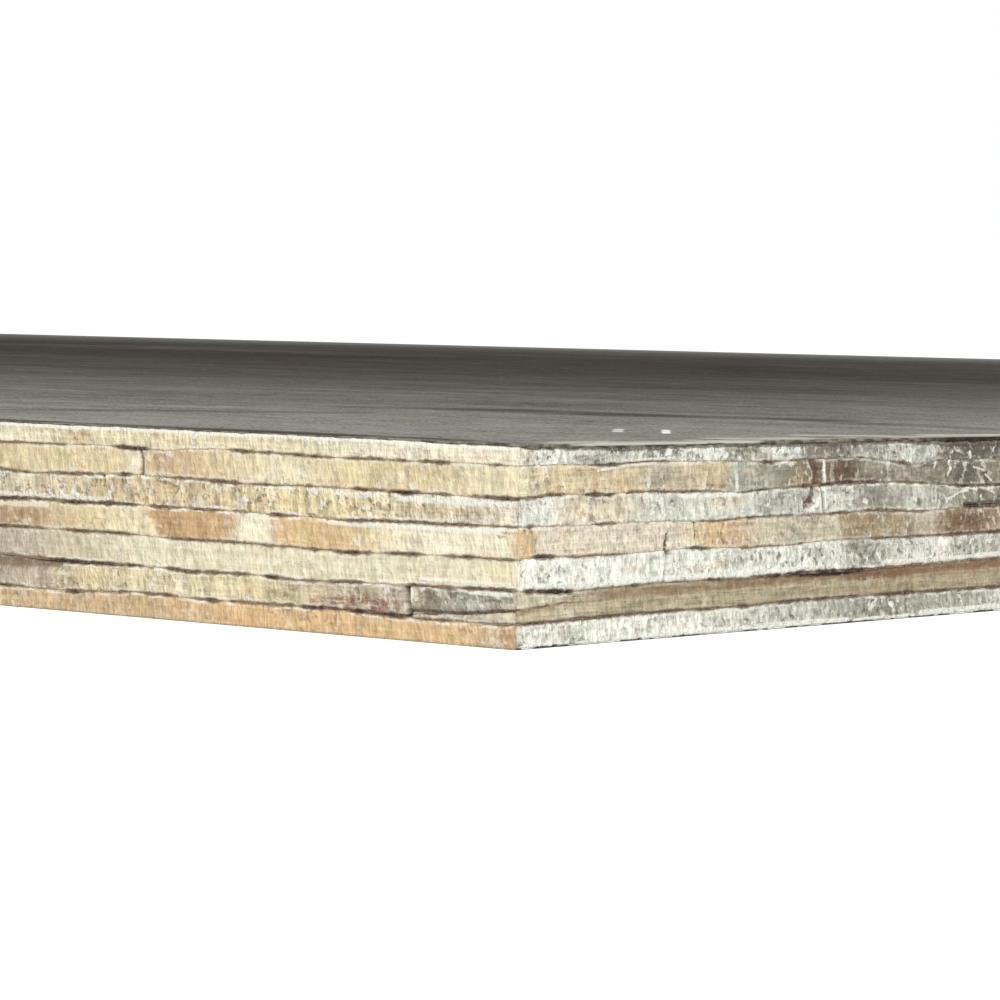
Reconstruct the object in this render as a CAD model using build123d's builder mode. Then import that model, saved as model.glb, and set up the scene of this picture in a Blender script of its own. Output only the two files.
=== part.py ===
"""Film-faced plywood panel for concrete formwork, a full sheet lying flat.

Seven veneer plies are laid crosswise in turn and bonded with dark phenolic resin, and a phenolic
film covers both faces. The grain of the odd plies runs along the panel and that of the even plies
across it. The inner plies are made up of veneer strips laid edge to edge, so each strip is a solid
of its own with a narrow core gap beside it, and the gaps show on the sawn edges.

Frame: X along the panel, Y across it, Z up, with the origin at the middle of the underside.
The corner that the strips are counted from is the one at +X and -Y.
"""

import os

from build123d import *

# Driving dimensions, in millimetres
LENGTH = 2500.0
WIDTH = 1250.0
FILM = 0.3
TOP_VENEER = 1.6
CORE_VENEER = 2.58
BASE_VENEER = 2.0
GLUE_LINE = 0.15
CORE_GAP = 0.5

# Usual width of the strips in a ply, and the share by which wide and narrow ones differ from it
CROSS_STRIP = 320.0
LONG_STRIP = 215.0
STRIP_SPREAD = 0.2

# Inner plies from the top down: the width of the strip beside the counted corner, and how far
# the clipped joint beside it leans over the thickness of the ply
CROSS_PLIES = {
    "cross_ply_2": (45.7, 0.3),
    "cross_ply_4": (44.3, 2.0),
    "cross_ply_6": (12.4, 0.2),
}
LONG_PLIES = {
    "long_ply_3": (47.2, -0.8),
    "long_ply_5": (21.9, 0.6),
}

# The end strip of the lowest cross ply is lapped: a thin wedge of veneer lies under it, this high
# at the end of the panel, with its own line of glue
LAPPED_PLY = "cross_ply_6"
LAP_RISE = 1.2
LAP_GLUE = 0.1

# The pieces from the underside up, each with its thickness
LAYERS = [
    ("bottom_film", FILM),
    ("face_ply_7", BASE_VENEER),
    ("glue_line_6", GLUE_LINE),
    ("cross_ply_6", CORE_VENEER),
    ("glue_line_5", GLUE_LINE),
    ("long_ply_5", CORE_VENEER),
    ("glue_line_4", GLUE_LINE),
    ("cross_ply_4", CORE_VENEER),
    ("glue_line_3", GLUE_LINE),
    ("long_ply_3", CORE_VENEER),
    ("glue_line_2", GLUE_LINE),
    ("cross_ply_2", CORE_VENEER),
    ("glue_line_1", GLUE_LINE),
    ("face_ply_1", TOP_VENEER),
    ("top_film", FILM),
]


def strip_joints(span, end_strip, usual):
    """Distances from the counted edge at which one strip of veneer meets the next."""
    joints = [end_strip]
    wide = True
    while joints[-1] + 2 * usual < span:
        spread = STRIP_SPREAD if wide else -STRIP_SPREAD
        joints.append(joints[-1] + usual * (1 + spread))
        wide = not wide
    return joints


def leaning_gap(at, lean, low, high):
    """Corners of the gap between two strips, clipped at a slant: `lean` is how far its top
    stands further along than its foot."""
    half = CORE_GAP / 2
    return (
        (at - lean / 2 - half, low),
        (at - lean / 2 + half, low),
        (at + lean / 2 + half, high),
        (at + lean / 2 - half, high),
    )


def lap_glue(start, end, low):
    """Corners of the glue between the lapped end strip and the wedge of veneer under it."""
    return (
        (start, low),
        (end, low + LAP_RISE),
        (end, low + LAP_RISE + LAP_GLUE),
        (start, low + LAP_GLUE),
    )


def plain_layer(low, thickness):
    """A film, a face veneer or a glue line, each one whole sheet."""
    with BuildPart() as layer:
        with BuildSketch(Plane.XY.offset(low)):
            Rectangle(LENGTH, WIDTH)
        extrude(amount=thickness)
    return layer.part


def cross_ply(low, thickness, end_strip, lean, lapped):
    """Strips with their grain across the panel, counted from the +X end."""
    end = LENGTH / 2
    sections = [
        leaning_gap(end - distance, -lean, low, low + thickness)
        for distance in strip_joints(LENGTH, end_strip, CROSS_STRIP)
    ]
    if lapped:
        sections.append(lap_glue(end - end_strip, end, low))
    with BuildPart() as ply:
        with BuildSketch(Plane.XY.offset(low)):
            Rectangle(LENGTH, WIDTH)
        extrude(amount=thickness)
        with BuildSketch(Plane.XZ):
            for corners in sections:
                with BuildLine():
                    Polyline(*corners, close=True)
                make_face()
        extrude(amount=WIDTH, both=True, mode=Mode.SUBTRACT)
    return ply.part


def long_ply(low, thickness, end_strip, lean):
    """Strips with their grain along the panel, counted from the -Y edge."""
    with BuildPart() as ply:
        with BuildSketch(Plane.XY.offset(low)):
            Rectangle(LENGTH, WIDTH)
        extrude(amount=thickness)
        with BuildSketch(Plane.YZ):
            for distance in strip_joints(WIDTH, end_strip, LONG_STRIP):
                with BuildLine():
                    Polyline(*leaning_gap(distance - WIDTH / 2, lean, low, low + thickness), close=True)
                make_face()
        extrude(amount=LENGTH, both=True, mode=Mode.SUBTRACT)
    return ply.part


def build_layer(name, low, thickness):
    """One layer of the panel, with its underside at the height `low`."""
    if name in CROSS_PLIES:
        layer = cross_ply(low, thickness, *CROSS_PLIES[name], name == LAPPED_PLY)
    elif name in LONG_PLIES:
        layer = long_ply(low, thickness, *LONG_PLIES[name])
    else:
        layer = plain_layer(low, thickness)
    layer.label = name
    return layer


os.makedirs("parts", exist_ok=True)
height = 0.0
for layer_name, layer_thickness in LAYERS:
    layer_part = build_layer(layer_name, height, layer_thickness)
    export_step(layer_part, f"parts/{layer_name}.step")
    height += layer_thickness
print(f"panel {LENGTH:g} x {WIDTH:g} x {height:g} mm in {len(LAYERS)} layers")
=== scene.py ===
"""Looks of a film-faced plywood formwork panel: worn film, sawn veneer edges and dark glue lines.

The frame gives every layer as a flat sheet. Here each layer is made again as a closed mesh whose
edge rises and falls like pressed veneer and is rough from the saw and the weather. The columns of
these meshes stand close together round the corner that the camera sees, and far apart elsewhere.

Heights and places on the edge are in millimetres. A place along the edge is counted from the near
corner: negative along the long side, positive along the short end.
"""

import math

import bpy
import numpy as np
from mathutils import Matrix, Vector


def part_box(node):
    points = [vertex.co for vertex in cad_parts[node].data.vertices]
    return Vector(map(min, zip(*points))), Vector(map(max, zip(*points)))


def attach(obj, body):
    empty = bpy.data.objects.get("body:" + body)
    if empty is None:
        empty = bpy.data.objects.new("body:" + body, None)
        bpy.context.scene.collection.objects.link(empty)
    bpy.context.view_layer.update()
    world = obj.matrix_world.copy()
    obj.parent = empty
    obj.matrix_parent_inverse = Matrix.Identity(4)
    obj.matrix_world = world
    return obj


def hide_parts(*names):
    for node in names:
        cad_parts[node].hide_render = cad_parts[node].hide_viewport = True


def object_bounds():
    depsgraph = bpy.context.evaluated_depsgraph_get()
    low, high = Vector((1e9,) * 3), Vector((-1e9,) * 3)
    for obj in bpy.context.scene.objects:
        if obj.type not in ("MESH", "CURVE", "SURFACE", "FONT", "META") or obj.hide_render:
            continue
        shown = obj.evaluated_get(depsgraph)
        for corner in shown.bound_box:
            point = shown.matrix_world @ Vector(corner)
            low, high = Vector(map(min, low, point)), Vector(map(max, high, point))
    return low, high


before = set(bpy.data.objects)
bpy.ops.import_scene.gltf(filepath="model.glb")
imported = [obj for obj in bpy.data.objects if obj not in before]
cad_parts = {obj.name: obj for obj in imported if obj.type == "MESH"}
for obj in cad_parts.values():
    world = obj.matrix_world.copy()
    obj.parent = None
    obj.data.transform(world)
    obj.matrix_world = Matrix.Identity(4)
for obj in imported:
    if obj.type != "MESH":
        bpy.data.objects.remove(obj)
cad_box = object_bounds()

MM = 0.001
HALF_X = cad_box[1].x / MM
HALF_Y = cad_box[1].y / MM
THICKNESS = cad_box[1].z / MM
SIDE = 2 * HALF_X
END = 2 * HALF_Y
ROUND = 2 * (SIDE + END)

PLIES = [
    "face_ply_1",
    "cross_ply_2",
    "long_ply_3",
    "cross_ply_4",
    "long_ply_5",
    "cross_ply_6",
    "face_ply_7",
]
LAPPED_PLY = "cross_ply_6"


def add_object(name, data):
    made = bpy.data.objects.new(name, data)
    bpy.context.scene.collection.objects.link(made)
    return made


# Camera, as fitted to the edges of the panel in the photograph

CAMERA_FROM_CORNER = (211.3, -266.03, 28.23)
CAMERA_YAW = 51.262
CAMERA_PITCH = 2.551
CAMERA_ROLL = 1.22
CAMERA_LENS = 140.69
CAMERA_SENSOR = 36.0


def make_camera():
    yaw, pitch, roll = (math.radians(a) for a in (CAMERA_YAW, CAMERA_PITCH, CAMERA_ROLL))
    forward = Vector((-math.cos(yaw) * math.cos(pitch), math.sin(yaw) * math.cos(pitch), -math.sin(pitch)))
    level = Vector((math.sin(yaw), math.cos(yaw), 0))
    above = level.cross(forward)
    right = math.cos(roll) * level + math.sin(roll) * above
    up = -math.sin(roll) * level + math.cos(roll) * above
    data = bpy.data.cameras.new("camera")
    data.lens = CAMERA_LENS
    data.sensor_width = CAMERA_SENSOR
    data.clip_start = 0.01
    camera = add_object("camera", data)
    turn = Matrix((right, up, -forward)).transposed()
    place = Vector((HALF_X, -HALF_Y, 0)) + Vector(CAMERA_FROM_CORNER)
    camera.matrix_world = Matrix.Translation(place * MM) @ turn.to_4x4()
    bpy.context.scene.camera = camera


# Noise for shapes

def smooth(low, high, value):
    """0 below low, 1 above high, with a smooth rise between them. High may be the smaller one."""
    t = np.clip((value - low) / (high - low), 0, 1)
    return t * t * (3 - 2 * t)


def noise(x, y, seed):
    """Smooth random values from -1 to 1 over the plane, one new value at each whole number."""
    table = np.random.default_rng(seed).uniform(-1, 1, (256, 256))
    x, y = np.broadcast_arrays(np.asarray(x, float), np.asarray(y, float))
    column, row = np.floor(x).astype(int), np.floor(y).astype(int)
    s, t = smooth(0, 1, x - column), smooth(0, 1, y - row)
    left, right = column & 255, (column + 1) & 255
    below, above = row & 255, (row + 1) & 255
    low = table[below, left] * (1 - s) + table[below, right] * s
    high = table[above, left] * (1 - s) + table[above, right] * s
    return low * (1 - t) + high * t


def rough(x, y, seed, octaves=3):
    """Noise with finer noise added to it, each octave half as large and twice as fine."""
    return sum(noise(x * 2**n, y * 2**n, seed + n) / 2**n for n in range(octaves))


# Tables in plain text

def read_rows(text):
    """Rows of words and numbers, one to a line."""
    return [
        [word if word[0].isalpha() else float(word) for word in line.split()]
        for line in text.strip().splitlines()
    ]


def by_name(text):
    """The rows that stand under each name, which has a line of its own."""
    found = {}
    for row in read_rows(text):
        if len(row) == 1:
            latest = found.setdefault(row[0], [])
        else:
            latest.append(row)
    return found


def in_groups(rows, size):
    """What all the rows hold, taken so many at a time."""
    whole = sum(rows, [])
    return [whole[n:n + size] for n in range(0, len(whole), size)]


# The outline, and the columns of mesh that stand round it

ARRIS = 0.45
DENSE_REACH = 84.0
FINE_STEP = 0.16
COARSE_STEP = 6.0
STEP_GROWTH = 0.04
CORNERS = (0.0, END, END + SIDE, 2 * END + SIDE, ROUND)
JOINT_COLUMNS = (-0.5, -0.3, -0.15, 0.0, 0.15, 0.3, 0.5)


def outline(u):
    """Places on the panel's outline and the directions out of it, for distances u in millimetres
    from the near corner, round by the short end first. The upright arrises are slightly rounded."""
    u = np.asarray(u, float)
    walls = [
        (HALF_X, -HALF_Y, 0, 1, 1, 0),
        (HALF_X, HALF_Y, -1, 0, 0, 1),
        (-HALF_X, HALF_Y, 0, -1, -1, 0),
        (-HALF_X, -HALF_Y, 1, 0, 0, -1),
    ]
    wall = np.clip(np.searchsorted(CORNERS, u, side="right") - 1, 0, 3)
    x0, y0, dx, dy, nx, ny = np.array(walls, float)[wall].T
    run = u - np.array(CORNERS)[wall]
    place = np.stack([x0 + dx * run, y0 + dy * run], -1)
    out = np.stack([nx, ny], -1)
    for n, corner in enumerate(CORNERS[:4]):
        offset = (u - corner + ROUND / 2) % ROUND - ROUND / 2
        near = np.abs(offset) < ARRIS
        x, y, dx, dy, nx, ny = walls[n]
        before = walls[n - 1]
        t = ((offset[near] + ARRIS) / (2 * ARRIS))[:, None]
        start = np.array([x - before[2] * ARRIS, y - before[3] * ARRIS])
        end = np.array([x + dx * ARRIS, y + dy * ARRIS])
        place[near] = (1 - t) ** 2 * start + 2 * t * (1 - t) * np.array([x, y]) + t**2 * end
        turned = (1 - t) * np.array(before[4:]) + t * np.array([nx, ny])
        out[near] = turned / np.linalg.norm(turned, axis=1, keepdims=True)
    return place, out


def joints(node):
    """Places round the outline where the strips of a ply meet, at its underside and at its top."""
    across = 0 if node.startswith("cross") else 1
    half = (HALF_X, HALF_Y)[across]
    points = np.array([v.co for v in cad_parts[node].data.vertices]) / MM
    levels = []
    for z in (points[:, 2].min(), points[:, 2].max()):
        walls = np.unique(points[np.abs(points[:, 2] - z) < 0.01, across].round(2))
        walls = walls[np.abs(walls) < half - 0.01]
        levels.append([(a + b) / 2 for a, b in zip(walls, walls[1:]) if b - a < 1])
    found = []
    for low, high in zip(*levels):
        if across == 0:
            found += [(ROUND - HALF_X + low, ROUND - HALF_X + high)]
            found += [(END + HALF_X - low, END + HALF_X - high)]
        else:
            found += [(low + HALF_Y, high + HALF_Y)]
            found += [(END + SIDE + HALF_Y - low, END + SIDE + HALF_Y - high)]
    return found


JOINTS = {name: joints(name) for name in PLIES if not name.startswith("face")}


def columns():
    """Distances round the outline of all the columns of mesh, in order."""
    reach = [0.0]
    while reach[-1] < ROUND / 2:
        over = max(0.0, reach[-1] - DENSE_REACH)
        step = FINE_STEP if reach[-1] > 1 else FINE_STEP / 2
        reach.append(reach[-1] + min(COARSE_STEP, step + over * STEP_GROWTH))
    reach = np.array(reach[:-1])
    extra = [c + ARRIS * n / 3 for c in CORNERS[1:4] for n in range(-4, 5)]
    for places in JOINTS.values():
        extra += [(low + high) / 2 + offset for low, high in places for offset in JOINT_COLUMNS]
    whole = np.sort(np.concatenate([reach, ROUND - reach[1:], extra]) % ROUND)
    keep = np.concatenate([[True], np.diff(whole) > 0.04])
    return whole[keep]


U = columns()
PLACE, OUT = outline(U)
ALONG = np.where(U > ROUND / 2, U - ROUND, U)
ON_END = (((U > 0) & (U < END)) | ((U > END + SIDE) & (U < 2 * END + SIDE))).astype(float)
NEAR = smooth(112, 80, np.abs(ALONG))

# How weathered each wall of the panel is, from the near short end round to the near long side
WEATHER_OF_WALL = (1.0, 0.55, 0.85, 0.12)
WALL = np.clip(np.searchsorted(CORNERS, U, side="right") - 1, 0, 3)
WEATHER = np.array(WEATHER_OF_WALL)[WALL]


# Heights of the layers at the edge

# Middle of each glue line above the underside, by its place along the edge
GLUE_HEIGHTS = by_name("""
glue_line_1
-64 15.95  -51 16.07  -43 15.88  -36 16.32  -32 16.18  -23 16.05  -10 16.07  0 16.09  8 16.11  13 15.95
18 16.19  28 16.17  39 15.91  46 16.15  54 16.18  63 15.35  69 15.73
glue_line_2
-65 13.33  -60 13.11  -51 13.35  -46 13.46  -38 13.33  -31 13.2  -23 13.28  -9 13.23  0 13.16  4 13.44
9 13.43  13 13.29  17 13.5  24 13.4  33 13.13  42 13.45  53 13.75  60 13.66  68 13.31  73 13
glue_line_3
-65 10.49  -60 10.64  -54 10.5  -47 10.62  -31 10.57  -20 10.4  -13 10.62  -7 10.6  0 10.75  11 10.69
22 10.74  29 10.56  36 10.77  47 10.73  56 10.93  65 10.6  73 10.9
glue_line_4
-65 7.77  -48 7.83  -42 7.69  -31 7.7  -19 7.52  -15 7.71  -5 7.87  0 7.84  3 8.08  9 7.89  19 7.95
26 8.11  32 7.94  40 7.88  50 8.18  62 8.1  77 8.13
glue_line_5
-64 5.05  -55 4.79  -45 4.9  -39 4.68  -32 4.88  -25 4.67  -15 4.95  0 5.17  7 4.83  15 5.01  22 5.14
35 5.02  47 5.16  52 5.08  71 5.36  80 5.45
glue_line_6
-64 2.03  -54 1.97  -46 2.39  -37 2.2  -30 2.26  -21 2.32  -14 2.18  -10 2.05  -3 2.13  3 2.24  10 2.34
21 2.42  34 2.36  45 2.58  62 2.52  78 2.46
""")

# Stretches where a glue line is thick and dark: from, to and thickness
THICK_GLUE = by_name("""
glue_line_1
-66 -56 0.15  -49 -45 0.3  -34 -29 0.24  -29 -26 0.1  -24 -22 0.12  -20 -12.5 0.18  -11 -8 0.24
-3 -1.6 0.2  12.6 14.2 0.24  14.5 22 0.05  37 39.5 0.25  60 62 0.2
glue_line_2
-63 -52 0.17  -48.5 -46.8 0.24  -43.5 -39 0.16  -38 -33 0.24  -26 -24 0.14  -18.5 -15.4 0.3
-14.8 -11.6 0.34  -9.8 -8 0.2  -4.8 0.8 0.3  0.8 6 0.3  10.5 13.6 0.27  16 29.5 0.13  42 56 0.28
71 80 0.2
glue_line_3
-65 -57 0.32  -57 -46 0.28  -43.5 -40.5 0.14  -39 -35.5 0.14  -29 -26.4 0.3  -21.5 -13 0.18  -13 -5 0.18
-5 0 0.1  11 14.5 0.16  27 31 0.13  37 42.5 0.12  44 52 0.16  54 66 0.12  73 80 0.35
glue_line_4
-65 -58.5 0.24  -53 -46.5 0.18  -42.5 -33 0.16  -30.5 -20.5 0.2  -20 -16.8 0.36  -15 -11 0.22
-8 -5 0.32  -5 0 0.16  2.6 5 0.34  6 16 0.1  25.3 28.5 0.2  34 40 0.16  56 67 0.13  67 80 0.24
glue_line_5
-66 -57 0.18  -57 -53 0.4  -53 -46.5 0.28  -42 -36 0.22  -34 -31.5 0.28  -29.5 -28.2 0.36  -28 -23 0.14
-22 -17.5 0.2  -12 -7.5 0.14  -4.6 0 0.18  1.4 7.8 0.44  8 38 0.08  38 42 0.3  42 55 0.55  56 80 0.16
glue_line_6
-55 -53.5 0.36  -52.5 -47 0.14  -45 -41 0.24  -38.5 -35.5 0.34  -33 -29.5 0.3  -28.8 -26 0.2
-25 -20.5 0.3  -19.2 -16.5 0.36  -16 -13 0.34  -11.5 -7 0.1  -4.2 -0.5 0.14  1.4 4.3 0.2  6 15.4 0.2
15.4 34 0.16  34 54 0.22  58 80 0.22
""")

# How thick a glue line shows where it is faint, as usual and at its thickest
GLUE_THIN = 0.03
GLUE_USUAL = 0.12
GLUE_THICKEST = 0.34
# How much of each glue line shows dark between its thick stretches: along the side and the end
GLUE_TONE = {
    1: (0.30, 0.10),
    2: (0.38, 0.48),
    3: (0.50, 0.06),
    4: (0.42, 0.26),
    5: (0.44, 0.68),
    6: (0.40, 0.66),
}
# A thick stretch starts to swell this far outside its ends, and is full this far inside them
SWELL_OUTSIDE = 1.4
SWELL_INSIDE = 0.7

# Visible thickness of the films on the edge, by place
FILM_EDGE = [(-65, 0.13), (-56, 0.17), (-50, 0.13), (-45, 0.12), (-36, 0.15), (-20, 0.15), (-14, 0.16),
             (-9, 0.27), (-0.4, 0.3), (1, 0.42), (6, 0.48), (11, 0.46), (27, 0.44), (46, 0.44), (51, 0.42),
             (56, 0.4), (66, 0.45), (80, 0.48)]
FILM_FOOT = [(-80, 0.03), (-1, 0.04), (1, 0.13), (80, 0.13)]


def nominal(node):
    low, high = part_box(node)
    return low.z / MM, high.z / MM


def measured(points):
    return np.interp(ALONG, *zip(*points))


def glue_height(number):
    low, high = nominal(f"glue_line_{number}")
    seed = 40 + 10 * number
    drift = 0.16 * rough(PLACE[:, 0] / 70, PLACE[:, 1] / 70, seed, 3)
    wobble = 0.035 * rough(ALONG / 2.2, 0 * U + number, seed + 5, 4)
    middle = (low + high) / 2 + drift
    near_height = measured(in_groups(GLUE_HEIGHTS[f"glue_line_{number}"], 2))
    return NEAR * near_height + (1 - NEAR) * middle + wobble


def glue_thickness(number):
    """How thick a glue line shows, and how dark, from 0 to 1."""
    seed = 200 + 10 * number
    swell = rough(PLACE[:, 0] / 4.5, PLACE[:, 1] / 4.5, seed, 3)
    close_swell = rough(ALONG / 1.7, 0 * U + 3 * number, seed + 4, 3)
    patches = rough(ALONG / 3.6, 0 * U + 5 * number, seed + 8, 3)
    base = np.where(ON_END > 0.5, GLUE_TONE[number][1], GLUE_TONE[number][0])
    far_dark = smooth(-0.9, 0.7, swell) * (0.45 + 0.55 * base)
    near_dark = smooth(0.6 - 1.6 * base, 1.1 - 1.6 * base, patches) * (0.42 + 0.3 * close_swell)
    dark = (1 - NEAR) * far_dark + NEAR * near_dark
    thickness = GLUE_THIN + (GLUE_USUAL - GLUE_THIN) * smooth(0, 0.6, dark)
    thickness = thickness + (1 - NEAR) * 0.12 * smooth(0.5, 1.1, swell)
    ragged = smooth(-1.0, 0.3, close_swell)
    for start, end, full in in_groups(THICK_GLUE[f"glue_line_{number}"], 3):
        there = smooth(start - SWELL_OUTSIDE, start + SWELL_INSIDE, ALONG)
        there = there * smooth(end + SWELL_OUTSIDE, end - SWELL_INSIDE, ALONG)
        full_thickness = min(GLUE_THICKEST, 0.06 + 0.48 * full) * (0.65 + 0.35 * ragged)
        thickness = thickness + there * np.maximum(0, full_thickness - thickness)
        full_dark = min(1, 0.3 + 1.9 * full) * (0.6 + 0.4 * ragged)
        dark = dark + there * np.maximum(0, full_dark - dark)
    thickness = thickness * (1 + 0.35 * NEAR * rough(ALONG / 0.55, 0 * U + 9 * number, seed + 12, 2))
    return thickness, np.clip(dark, 0, 1)


def film_thickness(node, points, seed):
    low, high = nominal(node)
    far = (high - low) * (1 + 0.25 * rough(PLACE[:, 0] / 11, PLACE[:, 1] / 11, seed, 3))
    near = measured(points) * (1 + 0.15 * rough(ALONG / 1.1, 0 * U, seed + 3, 2))
    return NEAR * near + (1 - NEAR) * far


GLUE = {}
for number in GLUE_TONE:
    height = glue_height(number)
    thickness, dark = glue_thickness(number)
    GLUE[number] = (height - thickness / 2, height + thickness / 2, dark)
TOP_FILM_SHOWN = film_thickness("top_film", FILM_EDGE, 300)
BOTTOM_FILM_SHOWN = film_thickness("bottom_film", FILM_FOOT, 310)

# The lower and upper limits of each ply at the edge
PLY_LIMITS = {}
for index, name in enumerate(PLIES):
    ply_top = THICKNESS - TOP_FILM_SHOWN if index == 0 else GLUE[index][0]
    ply_foot = BOTTOM_FILM_SHOWN if index == 6 else GLUE[index + 1][1]
    PLY_LIMITS[name] = (ply_foot, ply_top)

# Height of the lap's glue over the foot of the lapped ply, by place, and where the lap begins
LAP_START = -13.5
LAP_HEIGHTS = [(LAP_START, 0.0), (-10.7, 0.42), (-6.8, 0.6), (-3, 0.9), (0, 1.2), (3, 1.35), (7, 1.55),
               (10, 1.4), (18, 1.45), (35, 1.42), (48, 1.6), (80, 1.5)]
LAP_USUAL = 1.3


def lap_height():
    """Height of the lap's glue above the ply's foot, all round. Away from the lapped end it is 0."""
    across = np.abs(PLACE[:, 0] - HALF_X)
    far_side = np.clip(LAP_USUAL * (1 + across / LAP_START), 0, None)
    usual = np.where(ALONG < 0, measured(LAP_HEIGHTS), far_side)
    usual = np.where((ALONG > 0) & (ALONG <= END), measured(LAP_HEIGHTS), usual)
    return usual + 0.03 * rough(ALONG / 3, 0 * U, 350, 2) * (usual > 0.01)


# Relief: how far each point of the edge stands back from the flat

JOINT_DEPTH = 0.7
JOINT_WIDTH = 0.24
# The joint whose colours meet along a slant: its ply, place and how far it leans over the ply
LEANING_PLY = "cross_ply_4"
LEANING_JOINT = -44.3
JOINT_LEAN = 2.0
# Joints that the photograph shows wider or tighter than the rest, by place: half width and depth
SPECIAL_JOINTS = {
    -45.7: (0.12, 0.45),
    -44.3: (0.0, 0.0),
    -12.4: (0.22, 1.2),
    47.2: (0.14, 0.5),
    21.9: (0.16, 0.9),
}
# A crack's place on the end and the heights that it runs between, and the middle of a torn patch
CRACK = (21.9, 6.2, 9.2)
TORN_PATCH = (70.0, 14.3)

# Clear marks that follow a line: tone, strength, half its width, and then its points, each as a
# place and a height. In the second and third plies these are a torn splinter with the dark hollow
# behind it, and a torn patch.
# The pale strokes that run level along a ply's foot or top are painted highlights, where its edge catches
# the light.
PLY_STROKES = by_name("""
face_ply_1
bright_white 0.95 0.36  17.9 17.35  17.5 16.75
bright_white 0.95 0.34  19.5 17.3  20.2 16.75
bright_white 0.95 0.4  22.2 17.35  21.9 16.8
bright_white 0.9 0.34  24.8 17.3  24.1 16.85
bright_white 0.95 0.4  27.1 17.3  27.8 16.8
bright_white 0.95 0.42  29.6 17.2  31 16.65
bright_white 0.95 0.46  38.5 17.3  38.9 16.6
bright_white 0.95 0.46  42.8 17.3  42.2 16.6
fibre 0.8 0.16  15.2 16.35  23 16.45
cross_ply_2
dark_brown 0.85 0.6  45.1 16.3  46.1 14.8  46.1 13.2
bright_white 1 0.4  47.2 15.7  47.35 13.6
fibre 0.95 0.32  32.7 14.7  32.75 13.5
fibre 0.9 0.24  38.9 15.75  40.9 15.9
pale_cream 0.95 0.36  -46 16  -45.8 14.9  -46.5 14.1  -47.6 13.7
pale_cream 0.9 0.34  -29 16  -28.85 13.7
fibre 0.95 0.18  11.3 15.5  15.5 15.95  20 16.1
fibre 0.9 0.26  67.3 15.9  67.2 15
fibre 0.9 0.24  70.4 15.6  70.3 14.2
fibre 0.7 0.14  74.5 14.9  76.4 14.6
fibre 0.75 0.16  76.6 14.2  78 13.5
long_ply_3
fibre 0.75 0.24  -66 11  -50 11.08
dark_brown 0.85 0.52  45.6 13.3  45.3 12.2  44.3 11.7
bright_white 1 0.36  47.3 13.3  46.9 12.6  46.2 11.7  45.2 11.2
bright_white 0.95 0.28  24 12.95  32.7 13.05
red_brown 0.4 0.14  -15 13.3  -14.9 11.6
fibre 0.8 0.3  -21 12.75  -16 12.75
bright_white 0.85 0.38  -14 12.66  -1 12.66
dark_brown 0.9 0.16  -50.6 13.4  -50.55 12.3
brown 0.45 0.16  -42.8 12.9  -40.8 12.5  -41.5 11.6
bright_white 0.8 0.18  69.6 11.6  71.4 12.3  73.6 12.6
pit 0.8 0.3  73 11.15  80 11.2
fibre 0.75 0.16  76 12.9  78.6 12.2
cross_ply_4
dark_brown 0.95 0.3  22 9.4  22.05 8.1
red_brown 0.95 0.18  26.3 10.7  26.5 9
brown 0.8 0.12  31.2 10.8  30.5 9.2  31 8.4
pale_cream 0.85 0.34  -68 10.02  -58 10.05
fibre 0.75 0.28  -22 10.1  -2 10.2
long_ply_5
dark_brown 0.9 0.24  22.05 8.1  22.1 7
bright_white 0.9 0.26  22.65 7.6  22.5 5.9
fibre 0.75 0.24  -11 5.62  -1 5.68
bright_white 1 0.34  1 5.5  10 5.3  18 5.5  46 5.6
fibre 0.9 0.28  58 5.72  72 5.82  80 5.9
face_ply_7
bright_white 1 0.34  18 0.34  52 0.4
bright_white 1 0.2  53 0.26  64 0.26
bright_white 1 0.4  65 0.46  80 0.48
cross_ply_6
brown 0.85 0.66  -68 4.34  -62 4.36  -56.5 4.56
dark_brown 0.8 0.24  -12 2.74  -6 2.84  -3 3.25  0 3.35
rust 0.42 0.44  0 3.1  3.2 3.6  8.2 4.35
rust 0.5 0.62  8.2 4.2  14 4.38  32 4.5
rust 0.68 0.62  32 4.5  46 4.86  80 4.92
resin 0.95 0.34  44 5  48 4.96  52.4 4.98
bright_white 0.9 0.26  -5.4 4.76  -0.8 4.74
fibre 0.9 0.22  -11.95 4.9  -12 3
""")

# Strokes paler than this, added up over red, green and blue, stand out as ridges, the rest go in.
# The soft band is a change of colour only.
PALE_SUM = 560
SOFT_BAND = "rust"
HOLLOW = 0.3
RIDGE = 0.07


def stroke_depth(name, along, z):
    """Hollows along the dark strokes of a ply, and slight ridges along its pale ones."""
    depth = {True: 0 * z, False: 0 * z}
    for stroke_tone, strength, half, *line in PLY_STROKES[name]:
        if stroke_tone == SOFT_BAND:
            continue
        pale = sum(TONES[stroke_tone]) > PALE_SUM
        points = in_groups([line], 2)
        for (x0, z0), (x1, z1) in zip(points, points[1:]):
            dx, dz = x1 - x0, z1 - z0
            share = np.clip(((along - x0) * dx + (z - z0) * dz) / (dx * dx + dz * dz), 0, 1)
            away = np.hypot(along - x0 - share * dx, z - z0 - share * dz)
            depth[pale] = np.maximum(depth[pale], smooth(1.3 * half, 0.5 * half, away))
    return HOLLOW * depth[False] * (1 - depth[True]) - RIDGE * depth[True]


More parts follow.
